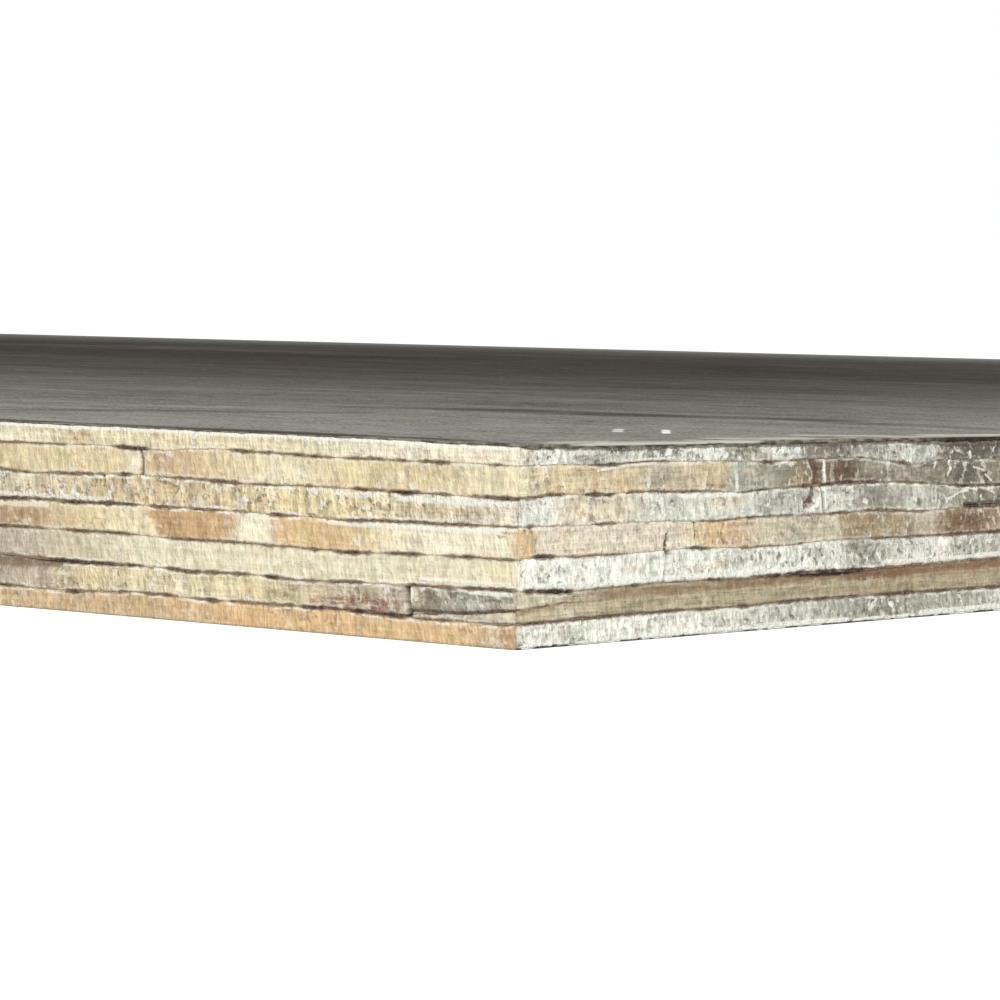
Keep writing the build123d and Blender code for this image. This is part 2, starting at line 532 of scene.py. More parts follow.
def joint_gap(name, v):
    """1 in the gaps between the strips of a ply, 0 elsewhere, and how deep each gap is."""
    gap = np.zeros((len(v), len(U)))
    depth = np.zeros_like(gap)
    for low, high in JOINTS.get(name, ()):
        middle = low + (high - low) * v
        bend = 0.25 * np.sin(math.pi * v) if name == "cross_ply_2" else 0.0
        place = (low + high) / 2
        place = place - ROUND if place > ROUND / 2 else place
        special = [size for at, size in SPECIAL_JOINTS.items() if abs(at - place) < 1]
        width, deep = special[0] if special else (JOINT_WIDTH, JOINT_DEPTH)
        if width > 0:
            here = smooth(width + 0.1, width - 0.02, np.abs(U - middle - bend))
            gap = np.maximum(gap, here)
            depth = np.maximum(depth, here * deep)
    return gap, depth


def ply_relief(name, v, z):
    """Depth of the ply's edge behind the flat, in rows of v and columns round the outline."""
    index = PLIES.index(name)
    seed = 500 + 20 * index
    end_grain = 1 - ON_END if name.startswith("cross") else ON_END
    stripes = rough(ALONG / 0.42 + 0.4 * z, z / 2.4, seed, 2)
    tears = smooth(0.35, 1.1, rough(ALONG / 0.7, z / 1.5, seed + 4, 3))
    grain = noise(ALONG / 6, z / 0.28, seed + 8)
    swell = rough(ALONG / 9, z / 2.0, seed + 10, 2)
    amount = 0.02 + 0.05 * WEATHER * (0.35 + 0.65 * end_grain)
    depth = 0.06 + amount * (0.8 * stripes + 0.35 * (1 - end_grain) * grain + 0.5 * swell)
    depth = depth + (0.05 + 0.20 * WEATHER * (0.3 + 0.7 * end_grain)) * tears
    dark_above = 0.4 if index == 0 else GLUE[index][2]
    dark_below = 0.4 if index == 6 else GLUE[index + 1][2]
    edge = smooth(0.09, 0, v) * (0.01 + 0.06 * dark_below)
    edge = edge + smooth(0.91, 1, v) * (0.01 + 0.06 * dark_above)
    gap, gap_depth = joint_gap(name, v)
    return depth + edge + gap_depth + stroke_depth(name, ALONG, z), gap


def corner_wear(z):
    """The near arris is nicked and rubbed, so it stands back a little and unevenly."""
    nicks = 0.10 + 0.13 * rough(z / 1.3, 0 * z, 700, 2)
    return smooth(1.1, 0.0, np.abs(ALONG)) * np.clip(nicks, 0, 0.4)


def end_damage(z):
    """Damage on the near short end: a crack, a torn patch and hollows beside it."""
    place, low, high = CRACK
    bend = 0.25 * np.sin((z - low) * 2.1)
    crack = smooth(0.24, 0.08, np.abs(ALONG - place - bend))
    crack = crack * smooth(low, low + 0.5, z) * smooth(high, high - 0.4, z)
    away = np.hypot((ALONG - TORN_PATCH[0]) / 5.5, (z - TORN_PATCH[1]) / 2.6)
    torn = smooth(1.2, 0.7, away) * (0.25 + 0.3 * rough((ALONG + z) / 0.9, z / 1.1, 710, 3))
    hollow = smooth(0.4, 0.9, rough(ALONG / 5, z / 2.2, 720, 2))
    hollow = hollow * smooth(30, 44, ALONG) * smooth(90, 75, ALONG)
    return 0.75 * crack + np.clip(torn, 0, None) + 0.22 * hollow


# Closed meshes of the layers

# How far in from the edges the coarse ring of each flat face stands, and its places round the outline
INSET = 14.0
INNER_U = np.sort(
    np.concatenate([np.linspace(a, b, 12, endpoint=False) for a, b in zip(CORNERS, CORNERS[1:])])
)


def inner_ring(z):
    place = outline(INNER_U)[0].copy()
    corner = np.isin(INNER_U, CORNERS[:4])
    place[corner] = np.sign(place[corner]) * (HALF_X, HALF_Y)
    place *= (1 - INSET / HALF_X, 1 - INSET / HALF_Y)
    return np.column_stack([place, np.full(len(place), z)])


def fill_cap(ring, inner, flip):
    """Triangles between a ring of columns and a coarse ring inside it, and the inner ring filled."""
    faces = []
    outer_at = np.append(U, ROUND)
    inner_at = np.append(INNER_U, ROUND)
    i = j = 0
    count, inner_count = len(U), len(INNER_U)
    while i < count or j < inner_count:
        a, b = ring + i % count, inner + j % inner_count
        if j >= inner_count or (i < count and outer_at[i + 1] <= inner_at[j + 1]):
            faces.append((a, b, ring + (i + 1) % count))
            i += 1
        else:
            faces.append((a, b, inner + (j + 1) % inner_count))
            j += 1
    faces.append(tuple(inner + k for k in range(inner_count - 1, -1, -1)))
    return [f[::-1] for f in faces] if flip else faces


def add_values(mesh, title, values, shape):
    """Three values at each point of the edge, in rows and columns of that shape, and 0 elsewhere."""
    whole = np.zeros((len(mesh.vertices), 3), np.float32)
    for place, value in enumerate(values):
        whole[: shape[0] * shape[1], place] = np.broadcast_to(value, shape).ravel()
    attribute = mesh.attributes.new(title, "FLOAT_VECTOR", "POINT")
    attribute.data.foreach_set("vector", whole.ravel())


def layer(name, heights, depths, marks, bond=(0, 0, 0)):
    """A closed mesh of one layer, from rows of heights and depths over all the columns, with its
    underside and top closed at the flat levels. Its finish reads the marks and the bond."""
    rows, count = heights.shape
    flat_low, flat_high = nominal(name)
    place = PLACE[None] - OUT[None] * depths[..., None]
    points = np.concatenate([place, heights[..., None]], -1).reshape(-1, 3)
    points = np.concatenate([points, inner_ring(flat_low), inner_ring(flat_high)]) * MM
    low_inner = rows * count
    high_inner = low_inner + len(INNER_U)
    across = np.arange(count)
    following = (across + 1) % count
    squares = np.stack([across, following, following + count, across + count], -1)
    sides = np.concatenate([squares + row * count for row in range(rows - 1)]).tolist()
    caps = fill_cap(0, low_inner, False) + fill_cap((rows - 1) * count, high_inner, True)
    mesh = bpy.data.meshes.new(name)
    mesh.from_pydata(points.tolist(), [], sides + caps)
    smooth_faces = np.zeros(len(mesh.polygons), bool)
    smooth_faces[: len(sides)] = True
    mesh.polygons.foreach_set("use_smooth", smooth_faces)
    add_values(mesh, "edge", (ALONG, np.linspace(0, 1, rows)[:, None], ON_END), heights.shape)
    add_values(mesh, "marks", marks, heights.shape)
    add_values(mesh, "bond", bond, heights.shape)
    piece = add_object(f"{name}_surface", mesh)
    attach(piece, "root")
    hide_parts(name)
    return piece


PLY_ROWS = 15
# No place on the edge of a ply or a glue line stands further back than this
DEEPEST = 2.5
# What a ply's finish reads as its height over the lap where there is none
NO_LAP = 9.0
# How far down the ply under the film is darkened, by place: 1 for half a millimetre. The dark band is
# partly resin and dirt and partly painted shadow under the film's edge
FILM_SHADE_AND_STAIN = [(-80, 0.0), (0, 0.0), (1, 0.25), (6, 0.3), (10, 0.4), (14, 0.6), (19, 0.7), (24, 0.55),
              (27, 0.5), (34, 0.4), (40, 0.4), (45, 0.5), (51, 0.7), (57, 0.45), (62, 0.3), (66, 0.7),
              (72, 1.05), (80, 1.05)]
FILM_SHADE_AND_STAIN_USUAL = 0.15


def make_ply(name):
    foot, top = PLY_LIMITS[name]
    v = np.linspace(0, 1, PLY_ROWS)[:, None]
    heights = foot + (top - foot) * v
    relief, gap = ply_relief(name, v, heights)
    depths = np.clip(relief + corner_wear(heights) + end_damage(heights), 0, DEEPEST)
    over_lap = NO_LAP
    if name == LAPPED_PLY:
        lap = lap_height()
        over_lap = np.where(lap > 0.02, heights - foot - lap, NO_LAP)
    index = PLIES.index(name)
    # Dark band under the upper film: partly resin and dirt, partly painted shadow
    film_shade_and_stain = NEAR * measured(FILM_SHADE_AND_STAIN) + (1 - NEAR) * FILM_SHADE_AND_STAIN_USUAL
    dark_above = film_shade_and_stain if index == 0 else GLUE[index][2]
    dark_below = 0 if index == 6 else GLUE[index + 1][2]
    slot = name.split("_")[0] + "_veneer"
    bond = (dark_below, dark_above, top - foot)
    return layer(name, heights, depths, (gap, WEATHER, over_lap), bond)


GLUE_RECESS = 0.07


def make_glue_line(number):
    low, high, dark = GLUE[number]
    heights = np.stack([low, (low + high) / 2, high])
    pitted = 0.04 * rough(ALONG / 0.6, 0 * U, 800 + number, 2)
    depths = GLUE_RECESS * (1 + dark) + 0.08 * dark * WEATHER + pitted * (0.3 + dark)
    depths = np.clip(depths + corner_wear(heights) + end_damage(heights), 0, DEEPEST)
    return layer(f"glue_line_{number}", heights, depths, (dark, WEATHER, 0))


# Chips out of the upper film's edge: place, half length and depth
FILM_CHIPS = [
    (-3.0, 2.0, 0.25),
    (0.6, 0.8, 0.4),
    (29.5, 1.6, 0.5),
    (37.5, 1.0, 0.35),
    (58.0, 2.2, 0.3),
    (-30.0, 3.0, 0.15),
]
# A film's rounded arris, row by row towards its face: how far in and how far out each row stands
ROLL = ((0.0, 0.0), (0.03, 0.04), (0.10, 0.07))


def film_depth(seed, chips):
    ragged = 0.05 + 0.05 * rough(ALONG / 0.8, 0 * U, seed, 3)
    ragged = ragged + 0.05 * WEATHER * rough(ALONG / 3.1, 0 * U, seed + 4, 2)
    chipping = rough(PLACE[:, 0] / 9, PLACE[:, 1] / 9, seed + 8, 3)
    random_chips = 0.5 * smooth(0.75, 1.25, chipping) * (1 - NEAR)
    for place, half, deep in chips:
        ragged = ragged + deep * smooth(half, half * 0.4, np.abs(ALONG - place))
    return np.clip(ragged + random_chips + 0.04, 0, 1.2)


def make_film_layer(name, shown, seed, chips, worn_through):
    """A film, of which the thickness given in `shown` can be seen on the edge."""
    insets, rises = zip(*ROLL)
    from_face = np.stack([shown] + [rises[-1] - rise + 0 * U for rise in rises])
    depths = film_depth(seed, chips) + np.array([0.0, *insets])[:, None]
    if name == "top_film":
        heights = THICKNESS - from_face
    else:
        heights, depths = from_face[::-1], depths[::-1]
    depths = depths + corner_wear(heights)
    return layer(name, heights, depths, (worn_through, WEATHER, 0))


def bottom_film_wear():
    """1 where the lower film is worn off the edge. On the near end short dashes of it are left."""
    left = smooth(-0.4, 0.9, rough(ALONG / 1.6, 0 * U, 850, 3)) * 0.3 * ON_END
    dashes = smooth(0.0, 0.2, rough(ALONG / 2.0, 0 * U, 855, 2)) * ON_END
    return 1 - np.clip(NEAR * np.maximum(dashes, left) + (1 - NEAR) * 0.8, 0, 1)


# Tones, as seen in plain light

TONES = {name: channels for name, *channels in read_rows("""
pale_cream 238 229 204
cream 230 219 186
green_cream 226 220 192
grey_cream 205 195 171
pink_cream 224 212 190
straw 223 207 167
tan 209 191 156
warm_tan 208 183 147
orange 220 189 145
deep_orange 197 164 124
toffee 186 160 126
olive_tan 178 166 138
brown_tan 166 148 119
dun 188 177 157
brown 142 119 94
red_brown 150 110 92
rust 128 94 66
dark_brown 98 80 67
bright_white 244 245 234
white 233 234 222
cool_white 216 217 205
pale_grey 198 198 185
grey 176 175 162
grey_brown 152 145 127
dark_grey 124 118 107
pit 92 84 74
fibre 246 244 230
resin 54 38 34
soaked_wood 98 76 62
faint_resin 202 181 146
pale_resin 200 194 178
mint 222 240 214
rose 248 222 214
film 57 50 46
film_haze 150 148 141
film_rim 84 74 69
film_edge 50 38 36
cement 188 185 177
""")}


def tone(name):
    """A named tone as a linear colour."""
    channels = [c / 255 for c in TONES[name]]
    linear = [c / 12.92 if c <= 0.04045 else ((c + 0.055) / 1.055) ** 2.4 for c in channels]
    return (*linear, 1.0)


def reckoned(operation):
    return lambda self, *others: self.paint.math(operation, self, *others)


class Wire:
    """A value on its way from one node to the next, which can be reckoned with like a number."""

    __add__ = __radd__ = reckoned("ADD")
    __mul__ = __rmul__ = reckoned("MULTIPLY")
    __sub__ = reckoned("SUBTRACT")
    __truediv__ = reckoned("DIVIDE")
    __abs__ = reckoned("ABSOLUTE")
    least = reckoned("MINIMUM")
    most = reckoned("MAXIMUM")

    def __init__(self, paint, socket):
        self.paint = paint
        self.socket = socket

    def __rsub__(self, other):
        return self.paint.math("SUBTRACT", other, self)


class Paint:
    """The nodes of a material or world, with short names for those in use here. `colour` is the
    colour so far, over which each tone is laid."""

    def __init__(self, owner):
        owner.use_nodes = True
        self.owner = owner
        self.tree = owner.node_tree
        self.tree.nodes.clear()
        self.colour = None

    def node(self, kind, inputs=(), output=None, **settings):
        """A new node, or the wire from one of its outputs."""
        made = self.tree.nodes.new("ShaderNode" + kind)
        for key, value in settings.items():
            setattr(made, key, value)
        for key, value in dict(inputs).items():
            if isinstance(value, Wire):
                self.tree.links.new(value.socket, made.inputs[key])
            else:
                made.inputs[key].default_value = value
        return made if output is None else Wire(self, made.outputs[output])

    def math(self, operation, *values):
        return self.node("Math", enumerate(values), 0, operation=operation)

    def vector(self, operation, first, second, output=0):
        other = "Scale" if operation == "SCALE" else 1
        return self.node("VectorMath", {0: first, other: second}, output, operation=operation)

    def combine(self, x, y, z=0.0):
        return self.node("CombineXYZ", {0: x, 1: y, 2: z}, 0)

    def split(self, vector):
        return [Wire(self, socket) for socket in self.node("SeparateXYZ", {0: vector}).outputs]

    def attribute(self, name):
        return self.split(self.node("Attribute", output="Vector", attribute_name=name))

    def edge(self):
        """The place along the edge, the share of the layer's height, and 1 on the short ends."""
        along, v, on_end = self.attribute("edge")
        return along, v, self.span(on_end, 0.45, 0.55)

    def place(self):
        """The point on the object, in millimetres."""
        return self.split(self.vector("SCALE", self.node("TexCoord", output="Object"), 1 / MM))

    def pattern(self, across, up, sizes, seed, detail=2.0, roughness=0.55):
        """Noise in patches of the given sizes in millimetres, mostly between 0.3 and 0.7."""
        vector = self.combine(across / sizes[0], up / sizes[1], seed)
        inputs = {"Vector": vector, "Scale": 1.0, "Detail": detail, "Roughness": roughness}
        return self.node("TexNoise", inputs, "Fac")

    def span(self, value, low, high, to_low=0.0, to_high=1.0):
        """A smooth rise or fall from one value to the other between low and high."""
        inputs = {"Value": value, "From Min": low, "From Max": high, "To Min": to_low, "To Max": to_high}
        return self.node("MapRange", inputs, 0, interpolation_type="SMOOTHSTEP")

    def signed(self, pattern):
        """A pattern from -1 to 1."""
        return self.span(pattern, 0.3, 0.7, -1.0, 1.0)

    def mix(self, factor, a, b, blend="MIX"):
        a, b = (tone(colour) if isinstance(colour, str) else colour for colour in (a, b))
        return self.node("Mix", {0: factor, 6: a, 7: b}, 2, data_type="RGBA", blend_type=blend)

    def lay(self, colour, amount, blend="MIX"):
        """Lays a tone over the colour so far, as thickly as the amount says."""
        self.colour = self.mix(amount, self.colour, colour, blend)

    def ramp(self, factor, stops):
        """A colour ramp through named tones, whose stops run from 0 to 1."""
        made = self.node("ValToRGB", {0: factor})
        elements = made.color_ramp.elements
        while len(elements) < len(stops):
            elements.new(0.5)
        for element, (place, name) in zip(elements, stops):
            element.position = place
            element.color = tone(name)
        return Wire(self, made.outputs[0])

    def spot(self, x, z, place, size):
        """1 at a place on the edge, fading to 0 at an oval of that size round it."""
        dx = (x - place[0]) / size[0]
        dz = (z - place[1]) / size[1]
        return self.span(dx * dx + dz * dz, 1.15, 0.3)

    def stroke(self, point, start, end, half):
        """1 along a straight line between two places, fading to 0 at half its width."""
        run = (end[0] - start[0], end[1] - start[1], 0)
        square = run[0] ** 2 + run[1] ** 2
        away = self.vector("SUBTRACT", point, (*start, 0))
        share = self.vector("DOT_PRODUCT", away, [r / square for r in run], "Value")
        nearest = self.vector("SCALE", run, self.node("Clamp", {"Value": share}, 0))
        return self.span(self.vector("DISTANCE", away, nearest, "Value"), half, half * 0.4)

    def lay_strokes(self, strokes, point, broken):
        """Lays marks along lines: tone, strength, half the width, and then the points."""
        for stroke_tone, strength, half, *line in strokes:
            points = in_groups([line], 2)
            for start, end in zip(points, points[1:]):
                self.lay(stroke_tone, self.stroke(point, start, end, half) * broken * strength)

    def finish(self, roughness, height, bump, specular):
        bumped = {"Height": height, "Strength": 1.0, "Distance": bump * MM}
        shader = self.node("BsdfPrincipled", {
            "Base Color": self.colour,
            "Roughness": roughness,
            "Normal": self.node("Bump", bumped, 0),
            "Specular IOR Level": specular,
        }, 0)
        self.node("OutputMaterial", {"Surface": shader})
        return self.owner


def new_paint(name):
    return Paint(bpy.data.materials.new(name))


# The tones of each ply along the part of its edge that the photograph shows, each after its place
PLY_ZONES = by_name("""
face_ply_1
-66 pale_cream  -57 cream  -54.5 tan  -52 cream  -24 cream  -18 pale_cream  -0.1 pale_cream
0.4 pink_cream  3 white  8 white  12 pale_grey  16 cool_white  22 pale_grey  26 white
28 bright_white  30.2 white  31.2 grey  36 grey  38 white  43 white  44.5 grey_brown  49 dark_grey
54 grey  61 white  67 white  69 grey_brown  71 dark_grey  76 pit  80 pit
cross_ply_2
-66 straw  -48.5 straw  -47.2 cream  -46 pale_cream  -45.5 tan  -43.5 warm_tan  -39 warm_tan
-36 straw  -28 cream  -20 straw  -12 straw  -4 cream  0.4 cream  5 straw  10 tan  16 tan
20 grey_cream  31 tan  32.5 grey  38 grey  43 brown_tan  46.5 brown  51 dark_brown  55 grey_brown
68 grey_brown  72 dark_grey  80 grey_brown
long_ply_3
-66 grey_cream  -50 tan  -38 tan  -28 straw  -18 straw  -13 cream  -7 pale_cream  -0.1 pink_cream
0.4 white  4 white  7 pink_cream  15 pink_cream  19 cool_white  34 cool_white  38 pale_grey
46 pale_grey  48 white  54 grey  58 grey  66 pale_grey  70 grey  77 grey_brown  80 grey_brown
cross_ply_4
-66 toffee  -61 toffee  -57 tan  -52 straw  -44.5 cream  -44.1 deep_orange  -35 deep_orange
-32.5 pale_cream  -29.5 pale_cream  -27.5 orange  -21 orange  -15 cream  -10 pale_cream
-1 pale_cream  -0.5 straw  0.6 orange  1.8 warm_tan  2.8 pink_cream  24.5 pink_cream  25.8 cream
27 tan  29 orange  31 warm_tan  34 warm_tan  36 grey_cream  50 grey_cream  52 brown_tan
60 brown_tan  66 grey_cream  70 brown  80 brown
long_ply_5
-66 dun  -61 dun  -54 grey_cream  -46 green_cream  -12 green_cream  -0.1 cream  0.4 bright_white
11 bright_white  20 white  50 white  53 grey  58 pale_grey  63 cool_white  69 white  73 pale_grey
80 pale_grey
cross_ply_6
-66 dun  -59 dun  -52 straw  -40 cream  -27 straw  -21 grey_cream  -12.6 dun  -12.1 green_cream
-11 grey_brown  -5 grey  -0.1 grey_cream  4 green_cream  7 green_cream  10 grey_cream  15 olive_tan
50 olive_tan  53 brown  61 brown  64 brown_tan  80 brown_tan
face_ply_7
-66 warm_tan  -52 warm_tan  -30 orange  -8 orange  -3 warm_tan  -0.1 deep_orange  0.4 white  4 white
6.5 cool_white  9 white  12 bright_white  26 white  34 cool_white  46 pale_grey  53 grey  70 grey
80 pale_grey
""")

# Smaller marks with broken outlines: tone, strength, place, height, half length and half height
PLY_MARKS = by_name("""
face_ply_1
dark_grey 0.75  21.5 16.9  4.5 0.7
grey_brown 0.8  34 16.9  2.6 0.7
resin 0.95  13.3 15.95  0.9 0.22
pit 0.5  10 16.6  4 0.3
warm_tan 0.8  -54 16.9  1.8 0.45
bright_white 0.9  40 17  3.4 0.3
pit 0.8  75 16.8  5 0.5
grey_brown 0.7  35.6 16.7  2 0.6
cross_ply_2
dark_brown 0.75  50.6 14.6  2.6 1.1
pit 0.8  46.4 14.6  1 1.4
pit 0.85  73.5 14.4  2.4 1
resin 0.7  77.2 13.9  1.4 0.8
pale_grey 0.5  58.5 15.3  4 0.5
cement 0.7  64 14.3  3 0.6
brown_tan 0.6  36 15.2  2.6 0.7
tan 0.5  -10 15.2  5 0.5
long_ply_3
tan 0.6  31.5 12.2  4.6 0.7
warm_tan 0.75  -9 11.8  7 0.45
brown_tan 0.6  -41.5 12.2  1.5 0.7
grey 0.6  52 11.6  3 0.5
grey_brown 0.7  74 11.7  3.2 0.6
grey_brown 0.7  75 12.75  3.6 0.36
grey 0.7  68.5 12.2  2.6 0.5
tan 0.5  7.5 11.7  2.8 0.6
pink_cream 0.8  16 11.6  2 0.8
cross_ply_4
pit 0.95  1.5 10.45  0.6 0.32
orange 0.5  0.4 9  1.7 0.9
brown_tan 0.7  -1.6 10.1  0.8 0.35
orange 0.7  7 9.4  0.5 1.1
grey 0.6  42 8.6  2.4 0.5
grey_cream 0.6  58 8.9  1 0.9
dark_brown 0.7  74 9.6  4 0.8
long_ply_5
brown 0.75  1 6.6  0.4 0.35
bright_white 0.85  27 7.2  3.2 0.6
straw 0.7  30 6.4  2 0.5
grey 0.7  53.5 7  2.6 0.9
cross_ply_6
brown 0.85  -49.5 4.75  6 0.35
red_brown 0.9  -18.5 3  6.2 0.95
red_brown 0.35  -24 4.1  3 0.5
brown_tan 0.8  -28 3.3  2.2 0.45
dark_grey 0.7  -5 4.3  4.4 0.42
face_ply_7
grey_brown 0.45  7.8 1.2  1.6 0.8
brown_tan 0.3  -2 1.2  1.2 0.8
dark_grey 0.5  57 1.4  4.5 1.1
""")

# The rest of each ply's look, in rows: its tones further along the long sides, and along the short
# ends; how strongly it shows upright stripes, fine fibres, level streaks, dark pits and torn pale
# fibres on the sides, and on the ends; and how strong the painted highlights along its edges are, on
# the side and the end, at its foot, and at its top: pale lines where the edges catch the light
PLY_LOOKS = by_name("""
face_ply_1
cream straw pale_cream cream
cool_white grey white grey_cream
0.2 0.18 0.12 0.35 0.7
0.36 0.24 0.08 1 1
0.3 0.3
0.9 0.5
cross_ply_2
straw warm_tan cream straw
tan grey_brown olive_tan brown
0.17 0.18 0.05 0.3 0.55
0.17 0.2 0.18 0.55 0.6
0.5 0.3
0.5 0.5
long_ply_3
tan grey_cream straw tan
cool_white pale_grey grey white
0.32 0.22 0.1 0.75 0.9
0.24 0.2 0.08 0.7 0.9
1 0.7
1 0.9
cross_ply_4
deep_orange pale_cream warm_tan pink_cream
pink_cream warm_tan grey_cream brown_tan
0.17 0.16 0.08 0.25 0.45
0.17 0.18 0.14 0.5 0.6
0.3 0.3
1 0.4
long_ply_5
green_cream grey_cream cream green_cream
white cool_white grey white
0.14 0.15 0.08 0.2 0.45
0.28 0.22 0.08 0.85 1
0.9 1
0.2 0.6
cross_ply_6
green_cream straw grey_cream olive_tan
brown_tan olive_tan brown grey_cream
0.22 0.2 0.12 0.55 0.65
0.14 0.18 0.22 0.45 0.3
0.6 0.1
0.9 0.15
face_ply_7
orange warm_tan deep_orange straw
white grey cool_white grey_cream
0.15 0.18 0.08 0.4 0.4
0.28 0.22 0.08 0.8 0.95
0.1 1
0.9 0.8
""")

# Sizes of the five patterns along the edge and upright. The first three change the tone evenly, and the
# last two are pits and fibres.
TEXTURE_SIZES = ((0.85, 3.4), (0.3, 1.0), (7.0, 0.45), (0.85, 0.8), (0.8, 1.0))
EVEN_PATTERNS = 3
# The tones by place run this far to both sides of the corner, and give way to the tones further
# along between these two places
ZONE_REACH = 100.0
FAR_START = 72.0
FAR_END = 96.0
# How resin and dirt soak into the wood beside a glue line, and how the wood under the upper film is
# darkened by resin, dirt and painted shadow: how far in for the darkest, the depths where the darkening
# ends and is full, the darkness that starts it and that makes it full, and its tone
GLUE_SOAK = (0.07, (0.20, -0.03), (0.05, 0.8), "soaked_wood")
FILM_SHADE_AND_SOAK = (0.5, (0.08, -0.08), (0.02, 0.15), "pit")


def damp_stain(paint, along, z, weather):
    """Grey-brown damp stains, the same through all layers, strongest high on the weathered ends."""
    spread = paint.pattern(along, z, (6.0, 2.8), 3.0, 4.0, 0.6)
    high = paint.span(z, 8.0, 15.0, 0.0, 0.10)
    reach = paint.span(along, 28.0, 46.0, 0.0, 0.09)
    return paint.span(spread + high + reach, 0.60, 0.78) * weather * 0.5


def make_veneer(name):
    paint = new_paint(name + "_wood")
    along, v, end = paint.edge()
    gap, weather, lap = paint.attribute("marks")
    dark_below, dark_above, thickness = paint.attribute("bond")
    x, y, z = paint.place()
    seed = 7.3 * PLIES.index(name)

    # Zones of colour, whose limits wander except right at the corner
    ragged = paint.pattern(along, z, (0.7, 0.4), seed + 3, 3.0, 0.65) - 0.5
    bend = paint.pattern(along, z, (5.0, 3.0), seed + 4) - 0.5
    warped = along + (bend * 2.2 + ragged * 2.6) * abs(along).least(1.0)
    if name == LEANING_PLY:
        close_by = paint.span(abs(along - LEANING_JOINT), 6.0, 2.0)
        warped = warped + (v - 0.5) * close_by * JOINT_LEAN
    side_tones, end_tones, side_texture, end_texture, *edge_highlights = PLY_LOOKS[name]
    zones = [
        ((place + ZONE_REACH) / (2 * ZONE_REACH), zone)
        for place, zone in in_groups(PLY_ZONES[name], 2)
    ]
    near_colour = paint.ramp(warped * (0.5 / ZONE_REACH) + 0.5, zones)
    drift = paint.span(paint.pattern(x, y, (45.0, 45.0), seed, 3.0, 0.6), 0.3, 0.7)
    weathered = end.most(paint.span(weather, 0.3, 1.3))
    far_colours = [
        paint.ramp(drift, list(zip((0.0, 0.33, 0.66, 1.0), tones)))
        for tones in (side_tones, end_tones)
    ]
    paint.colour = near_colour
    paint.lay(paint.mix(weathered, *far_colours), paint.span(abs(along), FAR_START, FAR_END))

    height_warped = z + ragged * 0.9 + bend * 0.5
    mottle = paint.span(paint.pattern(along, z, (1.0, 0.3), seed + 60, 3.0, 0.65), 0.36, 0.56)
    for mark_tone, strength, at, height, half_length, half_height in PLY_MARKS[name]:
        spot = paint.spot(warped, height_warped, (at, height), (half_length, half_height))
        paint.lay(mark_tone, spot * mottle * strength)
    if name == LAPPED_PLY:
        under = paint.span(lap, 0.02, -0.06) * (end * 0.25 + 0.5)
        paint.lay(paint.mix(end, "grey_cream", "olive_tan"), under)

    # Texture. The weathered ends are broken up more evenly than the sides, in blotches rather than
    # stripes.
    slant = z * 0.16 + along
    shortened = z * (end * 1.4 + 1.0)
    patterns = [
        paint.pattern(slant, z if n else shortened, sizes, seed + 10 * n, detail, 0.6)
        for n, (sizes, detail) in enumerate(zip(TEXTURE_SIZES, (3.0, 3.0, 3.0, 2.0, 2.0)))
    ]
    amounts = [
        end * (on_the_end - on_the_side) + on_the_side
        for on_the_side, on_the_end in zip(side_texture, end_texture)
    ]
    parts = [
        paint.signed(pattern) * amount
        for pattern, amount in zip(patterns[:EVEN_PATTERNS], amounts)
    ]
    paint.colour = paint.vector("SCALE", paint.colour, sum(parts, 1.035))
    tint = paint.pattern(along, z, (1.5, 1.2), seed + 80)
    hue = paint.pattern(along, z, (2.6, 1.6), seed + 85, 3.0)
    paint.lay("orange", paint.span(tint, 0.5, 0.75, 0.0, 0.22), "MULTIPLY")
    paint.lay("mint", paint.span(hue, 0.50, 0.30, 0.0, 0.32), "MULTIPLY")
    paint.lay("rose", paint.span(hue, 0.50, 0.70, 0.0, 0.32), "MULTIPLY")
    paint.lay("dark_grey", damp_stain(paint, along, z, weather))
    torn = paint.span(paint.pattern(along, z, (5.0, 2.4), seed + 90, 2.0), 0.40, 0.60, 0.35, 1.0)
    pits = paint.span(patterns[3], 0.46, 0.33) * amounts[3] * torn
    fibres = paint.span(patterns[4], 0.53, 0.66) * amounts[4] * torn
    paint.lay("pit", pits * 0.75)
    paint.lay("fibre", fibres)

    # Painted highlights along the foot and the top, strokes, what has soaked in from the glue lines above
    # and below, and the band under the upper film, which is partly stain and partly painted shadow
    from_foot = v * thickness
    from_top = thickness - from_foot
    rim_break = paint.span(paint.pattern(along, v, (1.6, 0.2), seed + 20, 3.0, 0.6), 0.42, 0.58)
    for away, (on_the_side, on_the_end) in zip((from_foot, from_top), edge_highlights):
        strength = end * (on_the_end - on_the_side) + on_the_side
        # Painted highlight: a broken pale line just inside the foot and the top, where an edge catches the
        # light
        rim = paint.span(away, 0.03, 0.10) * paint.span(away, 0.44, 0.18)
        paint.lay("fibre", rim * rim_break * strength)
    if name == "face_ply_1":
        # Painted highlight along the top of the first ply, just under the film, on the long side
        under_film_highlight = paint.span(from_top, 0.02, 0.08) * paint.span(from_top, 0.46, 0.20)
        paint.lay("fibre", under_film_highlight * paint.span(end, 1.0, 0.0) * 0.95)
    wavering = paint.combine(ragged * 0.5 + along, bend * 0.4 + z)
    paint.lay_strokes(PLY_STROKES[name], wavering, paint.span(mottle, 0.0, 0.5, 0.55, 1.0))
